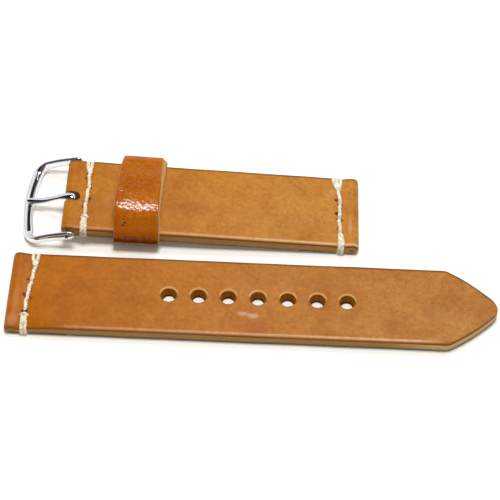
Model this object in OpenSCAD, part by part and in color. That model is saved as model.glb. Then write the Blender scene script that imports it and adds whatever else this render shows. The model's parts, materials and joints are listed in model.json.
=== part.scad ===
/* [Leather] */
// Width of both strap pieces
strap_w = 22; // [18:0.5:26]
// Thickness of the leather
leather_t = 3; // [2.7:0.1:3.8]
// Length of the tail piece from its folded end to its tip
tail_len = 120; // [110:1:135]
// Length of the buckle piece from fold to fold
short_len = 75; // [62:1:90]
// Thickness of the leather where it is skived to wrap a spring bar
wrap_t = 0.85; // [0.75:0.05:1.1]
// Length of each turned-under flap
flap_len = 15; // [12:0.5:18]
// Thickness of a flap at its feathered end
flap_edge_t = 0.35; // [0.2:0.05:0.6]
// Glue line between a flap and the strap
glue_gap = 0.06; // [0.04:0.01:0.1]
// Length over which a fold swells up from the flat leather
swell_len = 2.4; // [1.5:0.1:2.6]
// Length of the step from the end of a flap down to the strap's underside
step_len = 3; // [1:0.5:5]
// Radius of the corners at the folded ends, seen from above
corner_r = 0.8; // [0.3:0.1:1.5]

/* [Tail holes and tip] */
// Diameter of the holes for the buckle's tongue
hole_d = 3.9; // [3:0.1:4.5]
// Distance from hole to hole
hole_pitch = 7.3; // [6:0.1:8]
// Number of holes
hole_count = 7; // [5:1:9]
// Distance from the folded end to the first hole
first_hole = 39.3; // [34:0.1:44]
// Length of the pointed tip
tip_len = 12.4; // [9:0.1:16]
// How far each side of the tip bulges from a straight line
tip_bulge = 0.5; // [0.2:0.1:1]
// Width of the blunt point of the tip
tip_nose_w = 5; // [3:0.5:7]
// How far the blunt point itself is rounded out
tip_nose_bulge = 1.1; // [0.6:0.1:1.6]

/* [How the pieces lie] */
// Gap between the two pieces, side by side
pair_gap = 5.8; // [4:0.1:12]
// How far the buckle piece starts to the right of the tail piece
short_offset = 11.1; // [9:0.1:25]
// Gap between the table and what the buckle piece rests on
table_gap = 0.02; // [0.01:0.01:0.05]

/* [Stitching] */
// Diameter of the thread
thread_d = 0.84; // [0.6:0.02:0.9]
// Gap between the thread and the leather that it lies on
thread_gap = 0.03; // [0.02:0.01:0.06]
// Radial clearance of the thread in its holes
thread_clear = 0.08; // [0.06:0.01:0.15]
// Distance from stitch hole to stitch hole
stitch_pitch = 4.5; // [4:0.1:5]
// Number of stitch holes across the strap
stitch_count = 4; // [3:1:4]
// Distance from a lug fold to its seam
lug_seam_in = 5; // [4.9:0.1:7]
// Distance from the buckle fold to its seam
buckle_seam_in = 5.6; // [5.3:0.1:7]
// How far the two strands round an edge spread to each side
fan = 0.5; // [0.45:0.05:0.7]
// Depth of the groove for the thread on the underside
groove_t = 0.6; // [0.3:0.05:0.7]

/* [Spring bars] */
// Diameter of the buckle's spring bar
bar_d = 1.5; // [1.4:0.05:1.8]
// Radial clearance of the spring bar in the leather and the tongue
bar_clear = 0.05; // [0.03:0.01:0.08]
// Diameter of the spring bar that each lug fold takes
lug_bar_d = 1.5; // [1.4:0.05:1.8]
// Radial clearance of that bar in the lug fold
lug_clear = 0.1; // [0.06:0.01:0.2]
// Wall of the spring bar's tube
tube_wall = 0.2; // [0.15:0.01:0.22]
// Length of the crimped lip at each end of the tube
lip_len = 0.5; // [0.3:0.05:0.8]
// Diameter of the tips that stand out of the tube
tip_d = 0.8; // [0.7:0.02:0.84]
// Radial clearance of the tips in the tube, its lips and the buckle
tip_clear = 0.05; // [0.03:0.01:0.08]
// Length of the thick part of a tip, inside the tube
plunger_len = 4; // [3:0.1:5]
// How far a tip stops short of the outside of the buckle
tip_recess = 0.2; // [0.1:0.05:0.4]
// Diameter of the spring's wire
wire_d = 0.18; // [0.12:0.01:0.2]
// Number of coils in the spring
coil_count = 16; // [12:1:18]

/* [Buckle] */
// Gap between the strap's edge and the inside of the buckle
buckle_gap = 0.2; // [0.15:0.05:0.5]
// Width of the buckle's arms, seen from above
arm_w = 1.1; // [0.9:0.05:1.5]
// Height of the arms
arm_h = 2.6; // [2.2:0.1:2.8]
// Radius of the ears that hold the spring bar
ear_r = 1.4; // [1.3:0.05:1.6]
// Distance from the spring bar to the middle of the front bar
frame_reach = 11.1; // [10:0.1:14]
// Width of the front bar, seen from above
front_w = 2.4; // [1.8:0.1:2.8]
// Height of the front bar
front_h = 2.1; // [1.8:0.1:2.6]
// Radius of the front bar's outward bow
front_bow_r = 40; // [30:1:60]
// Radius of the buckle's two front corners
front_corner_r = 3; // [2.5:0.1:4]
// Radius of the arms' downward curve, seen from the side
arm_curve_r = 60; // [40:1:100]

/* [Tongue] */
// Width of the tongue's eye round the spring bar
eye_w = 2.2; // [1.8:0.1:2.6]
// Wall of the eye
eye_wall = 0.75; // [0.6:0.05:0.8]
// Width of the tongue at its waist
waist_w = 1.55; // [1.3:0.05:1.8]
// Width of the tongue near its tip
tongue_w = 1.7; // [1.4:0.05:2]
// Thickness of the tongue past its eye
tongue_t = 1.1; // [0.8:0.05:1.2]
// How far the tongue reaches past the middle of the front bar
tongue_over = 0.9; // [0.5:0.1:1.1]
// Gap between the tongue and the front bar that it lies on
tongue_gap = 0.04; // [0.03:0.01:0.08]
// Gap between the tongue's eye and the sides of its slot
slot_side_gap = 0.3; // [0.2:0.05:0.5]
// Gap between the eye and the closed end of its slot
slot_end_gap = 0.12; // [0.1:0.01:0.3]

/* [Keeper] */
// Width of the keeper along the strap
keeper_len = 12; // [8:0.5:15]
// Distance from the buckle fold to the keeper
keeper_start = 13; // [9:0.1:30]
// Thickness of the keeper's leather
keeper_t = 1.6; // [1.2:0.1:1.7]
// Gap between the keeper and the strap's edges
keeper_side_gap = 0.35; // [0.3:0.05:0.6]
// Gap between the keeper and the top of the strap
keeper_top_gap = 0.4; // [0.35:0.05:1]
// Slack of the keeper under the strap
keeper_slack = 0.7; // [0.5:0.05:0.8]
// Inside radius of the keeper's corners
keeper_r = 1; // [0.7:0.1:1.2]
// Joint between the keeper's two ends, underneath
keeper_joint_gap = 0.1; // [0.05:0.01:0.2]
// Diameter of the keeper's thread
keeper_thread_d = 0.5; // [0.4:0.02:0.56]
// Distance from the joint to the stitch holes beside it
keeper_stitch_in = 1.6; // [1.2:0.1:2.2]
// Distance from stitch to stitch
keeper_stitch_pitch = 3; // [2.4:0.1:3.4]

/* [Hidden] */

leather_colour = "#b8762e";
keeper_colour = "#b8601a";
thread_colour = "#ebe1c8";
chrome_colour = "#c9ccd0";
steel_colour = "#9a9ea3";

round_sides = 96;
thread_sides = 8;
over = 1;

lug_bore_r = lug_bar_d / 2 + lug_clear;
bar_bore_r = bar_d / 2 + bar_clear;
lug_fold_r = lug_bore_r + wrap_t;
bar_fold_r = bar_bore_r + wrap_t;

thread_r = thread_d / 2;
thread_hole_r = thread_r + thread_clear;
thread_proud = max(0, thread_d + thread_gap - groove_t);
groove_w = 2 * (fan + thread_r + thread_clear);
seam_reach = strap_w / 2 + thread_gap + thread_d;
stitch_ys = [for (i = [0 : stitch_count - 1]) (i - (stitch_count - 1) / 2) * stitch_pitch];

frame_inner_w = strap_w + 2 * buckle_gap;
arm_y = (frame_inner_w + arm_w) / 2;
frame_half_w = arm_y + arm_w / 2;
keeper_half_w = strap_w / 2 + keeper_side_gap;

x_low = min(0, short_offset + bar_fold_r - frame_reach - front_w / 2);
x_high = max(tail_len, short_offset + short_len);
tail_x = -(x_low + x_high) / 2;
far_reach = max(frame_half_w, keeper_half_w + keeper_t, seam_reach);
piece_step = strap_w + pair_gap;
tail_y = (seam_reach - piece_step - far_reach) / 2;
short_y = tail_y + piece_step;

// The keeper props the buckle piece up, and the piece slopes down from it to its lug seam
lug_seam_out = short_len - lug_seam_in + fan + thread_r;
tilt = atan((keeper_t + keeper_slack - thread_proud + table_gap) / (lug_seam_out - keeper_start - keeper_len));
short_lift = max((short_len - lug_fold_r) * sin(tilt) + lug_fold_r * (1 - cos(tilt)),
    lug_seam_out * sin(tilt) + thread_proud * cos(tilt));

// The spring bar's axis, where the buckle and its tongue turn
bar_x = tail_x + short_offset + bar_fold_r * (cos(tilt) + sin(tilt));
bar_z = short_lift + bar_fold_r * (cos(tilt) - sin(tilt));

module on_tail() {
    translate([tail_x, tail_y, thread_proud]) children();
}

module on_short() {
    translate([tail_x + short_offset, short_y, short_lift]) rotate([0, tilt, 0]) children();
}

// The far end of the buckle piece, seen as a fold of its own
module at_lug_end() {
    translate([short_len, 0, 0]) mirror([1, 0, 0]) children();
}

// A side outline drawn as length and height, spread across the strap
module across(w) {
    translate([0, w / 2, 0]) rotate([90, 0, 0]) linear_extrude(w) children();
}

// Points round an arc in steps, both ends included
function arc(centre, r, from, to, steps) =
    [for (i = [0 : steps]) let (a = from + (to - from) * i / steps) centre + r * [cos(a), sin(a)]];

// Points between two ends, bulging to the left of the way from one to the other
function bulged(from, to, bulge, steps) =
    let (side = [from.y - to.y, to.x - from.x] / norm(to - from))
    [for (i = [0 : steps]) let (s = i / steps) from + (to - from) * s + side * bulge * 4 * s * (1 - s)];

// The nose of a fold and its swell down to the flat leather
module fold_profile(fold_r) {
    translate([fold_r, fold_r]) circle(r = fold_r, $fn = round_sides);
    polygon([[fold_r, 0], [fold_r + swell_len, 0], [fold_r + swell_len, leather_t], [fold_r, 2 * fold_r]]);
}

// The tunnel for the bar, the glue line behind it and the step at the flap's end
module fold_cuts(fold_r, bore_r) {
    across(strap_w + 2 * over) {
        translate([fold_r, fold_r]) circle(r = bore_r, $fn = round_sides);
        polygon([[fold_r, fold_r - glue_gap / 2], [flap_len, flap_edge_t],
            [flap_len, flap_edge_t + glue_gap], [fold_r, fold_r + glue_gap / 2]]);
        polygon([[flap_len, -over], [flap_len + step_len, -over], [flap_len + step_len, 0],
            [flap_len, flap_edge_t + glue_gap]]);
    }
}

// Stitch holes through both layers, with the groove that joins them underneath
module seam_cuts(seam_in) {
    for (y = stitch_ys)
        translate([seam_in, y, -over]) cylinder(r = thread_hole_r, h = leather_t + 3 * over, $fn = 32);
    translate([seam_in - groove_w / 2, -strap_w, -over]) cube([groove_w, 2 * strap_w, groove_t + over]);
}

// The strap seen from above: rounded corners at the fold and a pointed tip
module tail_plan() {
    h = strap_w / 2;
    shoulder = tail_len - tip_len;
    nose = [tail_len - tip_nose_bulge, tip_nose_w / 2];
    polygon(concat(
        arc([corner_r, corner_r - h], corner_r, 180, 270, 4),
        bulged([shoulder, -h], [nose.x, -nose.y], -tip_bulge, 8),
        bulged([nose.x, -nose.y], nose, -tip_nose_bulge, 8),
        bulged(nose, [shoulder, h], -tip_bulge, 8),
        arc([corner_r, h - corner_r], corner_r, 90, 180, 4)));
}

module short_plan() {
    h = strap_w / 2;
    near = corner_r - h;
    far = h - corner_r;
    right = short_len - corner_r;
    polygon(concat(arc([corner_r, near], corner_r, 180, 270, 4), arc([right, near], corner_r, 270, 360, 4),
        arc([right, far], corner_r, 0, 90, 4), arc([corner_r, far], corner_r, 90, 180, 4)));
}

module tail_strap() {
    flat_from = lug_fold_r + swell_len;
    color(leather_colour) on_tail() difference() {
        intersection() {
            across(strap_w) {
                fold_profile(lug_fold_r);
                translate([flat_from, 0]) square([tail_len - flat_from, leather_t]);
            }
            translate([0, 0, -over]) linear_extrude(leather_t + lug_fold_r + 2 * over) tail_plan();
        }
        fold_cuts(lug_fold_r, lug_bore_r);
        seam_cuts(lug_seam_in);
        for (i = [0 : hole_count - 1])
            translate([first_hole + i * hole_pitch, 0, -over])
                cylinder(d = hole_d, h = leather_t + 2 * over, $fn = round_sides);
    }
}

// The slot in the buckle fold that the tongue's eye turns in
slot_r = eye_w / 2 + slot_side_gap;
eye_r = bar_bore_r + eye_wall;
slot_end = bar_fold_r + eye_r + slot_end_gap + slot_r - sqrt(pow(slot_r, 2) - pow(eye_w / 2, 2));

module tongue_slot() {
    translate([slot_end - slot_r, 0, -over]) cylinder(r = slot_r, h = leather_t + 3 * over, $fn = round_sides);
    translate([-over, -slot_r, -over]) cube([slot_end - slot_r + over, 2 * slot_r, leather_t + 3 * over]);
}

module buckle_strap() {
    flat_from = bar_fold_r + swell_len;
    flat_to = short_len - lug_fold_r - swell_len;
    color(leather_colour) on_short() difference() {
        intersection() {
            across(strap_w) {
                fold_profile(bar_fold_r);
                translate([flat_from, 0]) square([flat_to - flat_from, leather_t]);
                translate([short_len, 0]) mirror([1, 0]) fold_profile(lug_fold_r);
            }
            translate([0, 0, -over]) linear_extrude(leather_t + lug_fold_r + 2 * over) short_plan();
        }
        fold_cuts(bar_fold_r, bar_bore_r);
        seam_cuts(buckle_seam_in);
        tongue_slot();
        at_lug_end() {
            fold_cuts(lug_fold_r, lug_bore_r);
            seam_cuts(lug_seam_in);
        }
    }
}

// A thread through a list of points
module thread_run(points, d) {
    for (i = [0 : len(points) - 2])
        hull() {
            translate(points[i]) sphere(d = d, $fn = thread_sides);
            translate(points[i + 1]) sphere(d = d, $fn = thread_sides);
        }
}

// Where a strand rises out of a hole and lies down, going towards side
function rise(y, side, surface, up, r, gap) =
    [[0, y, surface - up * r], [0, y + side * 0.2 * r, surface + up * 0.75 * r],
     [0, y + side * 1.25 * r, surface + up * (r + gap)]];

function backwards(list) = [for (i = [len(list) - 1 : -1 : 0]) list[i]];

// One strand over or under the leather, from hole to hole
function stitch_path(y_from, y_to, surface, up, r, gap) =
    concat(rise(y_from, 1, surface, up, r, gap), backwards(rise(y_to, -1, surface, up, r, gap)));

// One strand out of an edge hole, round the strap's edge and back from below
function wrap_path(y_hole, side, spread) =
    let (edge = strap_w / 2, turn = thread_r + thread_gap * 2,
        over_top = leather_t + turn, under = groove_t - turn,
        corner_top = arc([edge, leather_t], turn, 90, 0, 3),
        corner_low = arc([edge, groove_t], turn, 0, -90, 3))
    concat(rise(y_hole, side, leather_t, 1, thread_r, thread_gap),
        [for (p = concat(corner_top, corner_low)) [spread, side * p.x, p.y]],
        backwards(rise(y_hole, side, groove_t, -1, thread_r, thread_gap)));

// The thread of one seam: four holes, single strands between them, two strands round each edge
module seam_thread() {
    last = stitch_count - 1;
    for (y = stitch_ys)
        thread_run([[0, y, groove_t + thread_r], [0, y, leather_t - thread_r]], thread_d);
    for (i = [0 : last - 1]) {
        thread_run(stitch_path(stitch_ys[i], stitch_ys[i + 1], leather_t, 1, thread_r, thread_gap), thread_d);
        thread_run(stitch_path(stitch_ys[i], stitch_ys[i + 1], groove_t, -1, thread_r, thread_gap), thread_d);
    }
    for (spread = [-fan, fan]) {
        thread_run(wrap_path(stitch_ys[0], -1, spread), thread_d);
        thread_run(wrap_path(stitch_ys[last], 1, spread), thread_d);
    }
}

module tail_thread() {
    color(thread_colour) on_tail() translate([lug_seam_in, 0, 0]) seam_thread();
}

module buckle_end_thread() {
    color(thread_colour) on_short() translate([buckle_seam_in, 0, 0]) seam_thread();
}

module lug_end_thread() {
    color(thread_colour) on_short() translate([short_len - lug_seam_in, 0, 0]) seam_thread();
}

// The keeper, a loop of leather whose two ends meet under the strap
keeper_low = -keeper_slack;
keeper_high = leather_t + keeper_top_gap;
keeper_thread_r = keeper_thread_d / 2;
keeper_groove_t = keeper_thread_d + 2 * thread_gap;
keeper_mid = keeper_start + keeper_len / 2;
keeper_stitch_xs = [for (i = [-1 : 1]) keeper_mid + i * keeper_stitch_pitch];

// A rectangle with round corners, from its low to its high corner
module round_rect(low, high, r) {
    translate([low.x + r, low.y]) square([high.x - low.x - 2 * r, high.y - low.y]);
    translate([low.x, low.y + r]) square([high.x - low.x, high.y - low.y - 2 * r]);
    for (x = [low.x + r, high.x - r], y = [low.y + r, high.y - r])
        translate([x, y]) circle(r = r, $fn = round_sides);
}

module keeper() {
    hole_r = keeper_thread_r + thread_clear;
    groove_half = keeper_stitch_in + hole_r;
    color(keeper_colour) on_short() difference() {
        translate([keeper_start, 0, 0]) rotate([90, 0, 90]) linear_extrude(keeper_len) difference() {
            round_rect([-keeper_half_w - keeper_t, keeper_low - keeper_t],
                [keeper_half_w + keeper_t, keeper_high + keeper_t], keeper_r + keeper_t);
            round_rect([-keeper_half_w, keeper_low], [keeper_half_w, keeper_high], keeper_r);
        }
        translate([keeper_start - over, -keeper_joint_gap / 2, keeper_low - keeper_t - over])
            cube([keeper_len + 2 * over, keeper_joint_gap, keeper_t + 2 * over]);
        for (x = keeper_stitch_xs) {
            for (y = [-keeper_stitch_in, keeper_stitch_in])
                translate([x, y, keeper_low - keeper_t - over]) cylinder(r = hole_r, h = keeper_t + 2 * over, $fn = 32);
            for (z = [keeper_low - keeper_groove_t, keeper_low - keeper_t - over])
                translate([x - hole_r, -groove_half, z]) cube([2 * hole_r, 2 * groove_half, keeper_groove_t + over]);
        }
        translate([keeper_stitch_xs[0], keeper_stitch_in - hole_r, keeper_low - keeper_groove_t])
            cube([2 * keeper_stitch_pitch, 2 * hole_r, keeper_groove_t + over]);
    }
}

// Three stitches across the keeper's joint, with the thread carried from one to the next inside
module keeper_thread() {
    inside = keeper_low - thread_gap - keeper_thread_r;
    outside = keeper_low - keeper_t + thread_gap + keeper_thread_r;
    loop = [[-keeper_stitch_in, inside], [keeper_stitch_in, inside], [keeper_stitch_in, outside],
        [-keeper_stitch_in, outside], [-keeper_stitch_in, inside]];
    color(thread_colour) on_short() {
        for (x = keeper_stitch_xs)
            thread_run([for (p = loop) [x, p.x, p.y]], keeper_thread_d);
        thread_run([for (x = keeper_stitch_xs) [x, keeper_stitch_in, inside]], keeper_thread_d);
    }
}

// A ring of points with squared-off sides, half_w across and half_h up
section_sides = 16;
squareness = 0.75;
function squared(c) = sign(c) * pow(abs(c), squareness);
function ring(centre, out, half_w, half_h) =
    [for (i = [0 : section_sides - 1]) let (a = 360 * i / section_sides)
        centre + out * half_w * squared(cos(a)) + [0, 0, half_h * squared(sin(a))]];

// A closed bar through a list of rings, each turning the same way about the bar's own direction
module loft(rings) {
    n = len(rings[0]);
    last = len(rings) - 1;
    polyhedron(
        points = [for (r = rings) each r],
        faces = concat([[for (i = [0 : n - 1]) i]], [[for (i = [n - 1 : -1 : 0]) last * n + i]],
            [for (k = [0 : last - 1], i = [0 : n - 1]) let (j = (i + 1) % n)
                each [[k * n + i, (k + 1) * n + i, (k + 1) * n + j], [k * n + i, (k + 1) * n + j, k * n + j]]]),
        convexity = 6);
}

function ease(s) = s * s * (3 - 2 * s);
function mix(a, b, s) = a + (b - a) * s;

// The buckle's outline in plan, measured forwards from the spring bar
bow_centre = frame_reach - front_bow_r;
corner_y = arm_y - front_corner_r;
corner_f = bow_centre + sqrt(pow(front_bow_r - front_corner_r, 2) - pow(corner_y, 2));
corner_turn = atan2(corner_f - bow_centre, corner_y);
arm_steps = 5;
corner_steps = 8;
front_steps = 6;

// Each entry is a place, the way out of the buckle there, and how far the arm has become the front bar
frame_half = concat(
    [for (i = [0 : arm_steps - 1]) [[corner_f * i / arm_steps, arm_y], [0, 1], 0]],
    [for (i = [0 : corner_steps - 1]) let (s = i / corner_steps, a = corner_turn * s, out = [sin(a), cos(a)])
        [[corner_f, corner_y] + front_corner_r * out, out, ease(s)]],
    [for (i = [0 : front_steps]) let (a = (90 - corner_turn) * (1 - i / front_steps), out = [cos(a), sin(a)])
        [[bow_centre, 0] + front_bow_r * out, out, 1]]);
frame_path = concat(frame_half,
    [for (i = [len(frame_half) - 2 : -1 : 0]) let (p = frame_half[i])
        [[p[0].x, -p[0].y], [p[1].x, -p[1].y], p[2]]]);

function arm_drop(f) = -pow(f, 2) / (2 * arm_curve_r);

// How far a squared section reaches below its middle when it is turned by an angle
function section_reach(half_w, half_h, turn) =
    max([for (i = [0 : 3]) let (a = 90 * i / 4)
        half_w * squared(cos(a)) * sin(turn) + half_h * squared(sin(a)) * cos(turn)]);

// The buckle rests with its front bar on the table
front_middle = [frame_reach, arm_drop(frame_reach)];
front_guess = asin(min(1, (bar_z - front_h / 2) / norm(front_middle))) - atan2(-front_middle.y, front_middle.x);
front_reach = section_reach(front_w / 2, front_h / 2, front_guess);
frame_turn = asin(min(1, (bar_z - front_reach - table_gap) / norm(front_middle)))
    - atan2(-front_middle.y, front_middle.x);

module at_bar() {
    translate([bar_x, short_y, bar_z]) children();
}

module bar_hole(r, h) {
    rotate([90, 0, 0]) cylinder(r = r, h = h, center = true, $fn = 48);
}

module buckle_frame() {
    rings = [for (p = frame_path) ring([-p[0].x, p[0].y, arm_drop(p[0].x)], [-p[1].x, p[1].y, 0],
        mix(arm_w, front_w, p[2]) / 2, mix(arm_h, front_h, p[2]) / 2)];
    color(chrome_colour) at_bar() rotate([0, -frame_turn, 0]) difference() {
        union() {
            loft(backwards(rings));
            for (side = [-1, 1])
                translate([0, side * arm_y, 0]) bar_hole(ear_r, arm_w);
        }
        bar_hole(tip_d / 2 + tip_clear, 2 * frame_half_w + over);
    }
}

// The tongue leaves its eye level, sinks to the front bar and lies on it
front_at = [frame_reach * cos(frame_turn) + front_middle.y * sin(frame_turn),
    front_middle.y * cos(frame_turn) - frame_reach * sin(frame_turn)];
tongue_tip_z = front_at.y + front_reach + tongue_gap + tongue_t / 2;
tongue_tip_f = front_at.x + tongue_over;
tongue_start_z = bar_bore_r + eye_wall / 2;
tongue_ends = [[-0.2, tongue_start_z], [0.27 * tongue_tip_f, tongue_start_z],
    [0.62 * tongue_tip_f, tongue_tip_z + 0.1], [tongue_tip_f, tongue_tip_z]];
function curve(p, s) = pow(1 - s, 3) * p[0] + 3 * s * pow(1 - s, 2) * p[1]
    + 3 * pow(s, 2) * (1 - s) * p[2] + pow(s, 3) * p[3];
function curve_way(p, s) = let (d = curve(p, min(1, s + 0.01)) - curve(p, max(0, s - 0.01))) d / norm(d);

tongue_steps = 18;
tongue_waist_at = 0.38;
function tongue_half_w(s) = s < tongue_waist_at
    ? mix(eye_w - 0.1, waist_w, ease(s / tongue_waist_at)) / 2
    : mix(waist_w, tongue_w, ease(min(1, (s - tongue_waist_at) / 0.35))) / 2;
function tongue_half_t(s) = mix(eye_wall - 0.02, tongue_t, ease(min(1, s / 0.3))) / 2;
// The last stretch narrows to a round end
function tongue_end(s) = s < 0.9 ? 1 : max(0.25, sqrt(1 - pow((s - 0.9) / 0.1, 2)));

module buckle_tongue() {
    rings = [for (i = [0 : tongue_steps]) let (s = i / tongue_steps, p = curve(tongue_ends, s),
        way = curve_way(tongue_ends, s), half_w = tongue_half_w(s) * tongue_end(s),
        half_t = tongue_half_t(s) * mix(0.6, 1, tongue_end(s)))
        [for (k = [0 : section_sides - 1]) let (a = 360 * k / section_sides, up = half_t * squared(sin(a)))
            [-(p.x - way.y * up), half_w * squared(cos(a)), p.y + way.x * up]]];
    color(chrome_colour) at_bar() difference() {
        union() {
            loft(backwards(rings));
            bar_hole(eye_r, eye_w);
        }
        bar_hole(bar_bore_r, eye_w + over);
    }
}

// The spring bar: a crimped tube, a plunger with a thin tip at each end, and a spring between them
tube_half = strap_w / 2 + buckle_gap / 2;
tube_bore_r = bar_d / 2 - tube_wall;
plunger_r = tube_bore_r - tip_clear;
plunger_out = tube_half - lip_len - tip_clear;
plunger_in = plunger_out - plunger_len;
tip_out = frame_half_w - tip_recess;

module spring_bar_tube() {
    color(steel_colour) at_bar() difference() {
        bar_hole(bar_d / 2, 2 * tube_half);
        bar_hole(tube_bore_r, 2 * (tube_half - lip_len));
        bar_hole(tip_d / 2 + tip_clear, 2 * tube_half + over);
    }
}

module spring_bar_tip(side) {
    color(steel_colour) at_bar() rotate([-90 * side, 0, 0]) {
        translate([0, 0, plunger_in]) cylinder(r = plunger_r, h = plunger_len, $fn = 48);
        translate([0, 0, plunger_in]) cylinder(d = tip_d, h = tip_out - plunger_in, $fn = 48);
    }
}

module spring_bar_tip_near() {
    spring_bar_tip(-1);
}

module spring_bar_tip_far() {
    spring_bar_tip(1);
}

module spring_bar_spring() {
    steps = 8;
    half = plunger_in - wire_d / 2 - thread_gap;
    coil_r = plunger_r - wire_d / 2;
    total = coil_count * steps;
    turns = [for (i = [0 : total]) let (a = 360 * i / steps, out = [cos(a), 0, sin(a)])
        [coil_r * out + [0, mix(-half, half, i / total), 0], out]];
    echo(least_gap_between_coils = min([for (i = [0 : total - steps]) norm(turns[i + steps][0] - turns[i][0])]) - wire_d);
    rings = [for (t = turns) [for (k = [0 : 5]) t[0] + wire_d / 2 * (cos(60 * k) * t[1] + [0, sin(60 * k), 0])]];
    color(steel_colour) at_bar() loft(rings);
}

tail_strap();
tail_thread();
buckle_strap();
buckle_end_thread();
lug_end_thread();
keeper();
keeper_thread();
buckle_frame();
buckle_tongue();
spring_bar_tube();
spring_bar_tip_near();
spring_bar_tip_far();
spring_bar_spring();
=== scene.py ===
import json
from math import atan2, copysign, cos, exp, pi, radians, sin, sqrt

import bmesh
import bpy
import numpy as np
from mathutils import Matrix, Vector, noise


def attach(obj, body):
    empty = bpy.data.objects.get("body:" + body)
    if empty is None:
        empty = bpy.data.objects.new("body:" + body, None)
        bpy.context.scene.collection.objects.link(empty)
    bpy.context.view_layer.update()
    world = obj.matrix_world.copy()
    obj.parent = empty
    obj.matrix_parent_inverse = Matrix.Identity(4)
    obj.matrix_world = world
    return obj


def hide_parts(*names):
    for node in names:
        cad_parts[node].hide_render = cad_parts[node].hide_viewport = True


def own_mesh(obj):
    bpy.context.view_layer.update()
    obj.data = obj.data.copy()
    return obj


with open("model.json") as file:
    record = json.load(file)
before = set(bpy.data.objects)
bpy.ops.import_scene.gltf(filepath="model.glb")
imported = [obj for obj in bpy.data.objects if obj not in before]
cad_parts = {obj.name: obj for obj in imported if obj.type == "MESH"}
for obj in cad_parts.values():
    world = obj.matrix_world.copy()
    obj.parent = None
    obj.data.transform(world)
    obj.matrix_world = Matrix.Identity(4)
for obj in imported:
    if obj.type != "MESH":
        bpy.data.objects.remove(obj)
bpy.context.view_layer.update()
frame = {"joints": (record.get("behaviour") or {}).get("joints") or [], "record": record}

mm = 0.001
joints = {joint["name"]: joint for joint in frame["joints"]}
mounts = {mount["name"]: mount for mount in frame["record"]["mounts"]}


# Colours and nodes

def hexColour(text):
    channels = [int(text[i:i + 2], 16) / 255 for i in (1, 3, 5)]
    linear = [c / 12.92 if c <= 0.04045 else ((c + 0.055) / 1.055) ** 2.4 for c in channels]
    return (*linear, 1)


def setInputs(tree, node, inputs):
    # a socket is linked, a hex text becomes a colour, and any other value is set as it is
    for key, value in inputs.items():
        if isinstance(value, bpy.types.NodeSocket):
            tree.links.new(value, node.inputs[key])
        else:
            node.inputs[key].default_value = hexColour(value) if isinstance(value, str) else value


def addNode(tree, kind, inputs=None, **settings):
    node = tree.nodes.new(kind)
    for name, value in settings.items():
        setattr(node, name, value)
    setInputs(tree, node, inputs or {})
    return node


def maths(tree, operation, *values):
    return addNode(tree, "ShaderNodeMath", dict(enumerate(values)), operation=operation).outputs[0]


def vectorMaths(tree, operation, inputs):
    node = addNode(tree, "ShaderNodeVectorMath", inputs, operation=operation)
    return node.outputs["Value" if operation == "LENGTH" else "Vector"]


def mapRange(tree, value, start=0.0, stop=1.0, low=0.0, high=1.0, shape="LINEAR"):
    inputs = {"Value": value, "From Min": start, "From Max": stop, "To Min": low, "To Max": high}
    return addNode(tree, "ShaderNodeMapRange", inputs, interpolation_type=shape).outputs[0]


def blend(tree, share, first, second):
    return addNode(tree, "ShaderNodeMix", {0: share, 6: first, 7: second}, data_type="RGBA").outputs[2]


def noiseField(tree, place, scale, detail, roughness=0.5, distortion=0.0):
    return addNode(tree, "ShaderNodeTexNoise", {
        "Vector": place, "Scale": scale, "Detail": detail, "Roughness": roughness, "Distortion": distortion,
    }).outputs["Fac"]


def poreField(tree, place, scale):
    return addNode(tree, "ShaderNodeTexVoronoi", {"Vector": place, "Scale": scale}).outputs["Distance"]


def bumped(tree, height, strength, depth):
    inputs = {"Height": height, "Strength": strength, "Distance": depth * mm}
    return addNode(tree, "ShaderNodeBump", inputs).outputs[0]


def strapSpot(tree):
    # a point's own u, v and w in mm, as strapPlace writes them
    return addNode(tree, "ShaderNodeAttribute", attribute_name="place").outputs["Vector"]


def parted(tree, vector):
    return addNode(tree, "ShaderNodeSeparateXYZ", {0: vector}).outputs


def scaled(tree, vector, *scale):
    return addNode(tree, "ShaderNodeMapping", {"Vector": vector, "Scale": scale}).outputs[0]


def objectSpot(tree, *scale):
    return scaled(tree, addNode(tree, "ShaderNodeTexCoord").outputs["Object"], *scale)


def newMaterial(name):
    material = bpy.data.materials.new(name)
    material.use_nodes = True
    tree = material.node_tree
    return material, tree, tree.nodes["Principled BSDF"]


# Meshes

def meshObject(name, points, faces, materials, faceMaterials=None, edges=()):
    mesh = bpy.data.meshes.new(name)
    mesh.from_pydata([tuple(p) for p in points], edges, faces)
    for material in materials:
        mesh.materials.append(material)
    if faceMaterials is not None:
        mesh.polygons.foreach_set("material_index", faceMaterials)
    piece = bpy.data.objects.new(name, mesh)
    bpy.context.scene.collection.objects.link(piece)
    return piece


def solidObject(name, points, faces, materials, faceMaterials=None):
    # a closed form, with its normals turned outwards
    piece = meshObject(name, points, faces, materials, faceMaterials)
    work = bmesh.new()
    work.from_mesh(piece.data)
    bmesh.ops.remove_doubles(work, verts=work.verts, dist=0.001 * mm)
    bmesh.ops.recalc_face_normals(work, faces=work.faces)
    work.to_mesh(piece.data)
    work.free()
    return piece


def smoothShade(piece, angle=40):
    piece.data.shade_smooth()
    piece.data.set_sharp_from_angle(angle=radians(angle))


def applyModifiers(piece):
    bpy.context.view_layer.update()
    made = bpy.data.meshes.new_from_object(piece.evaluated_get(bpy.context.evaluated_depsgraph_get()))
    made.name = piece.name
    piece.modifiers.clear()
    piece.data = made


def carve(piece, cutter):
    # the cut faces keep the cutter's own material
    modifier = piece.modifiers.new("carve", "BOOLEAN")
    modifier.object = cutter
    modifier.operation = "DIFFERENCE"
    modifier.solver = "EXACT"
    modifier.material_mode = "TRANSFER"
    applyModifiers(piece)
    bpy.data.objects.remove(cutter)


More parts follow.
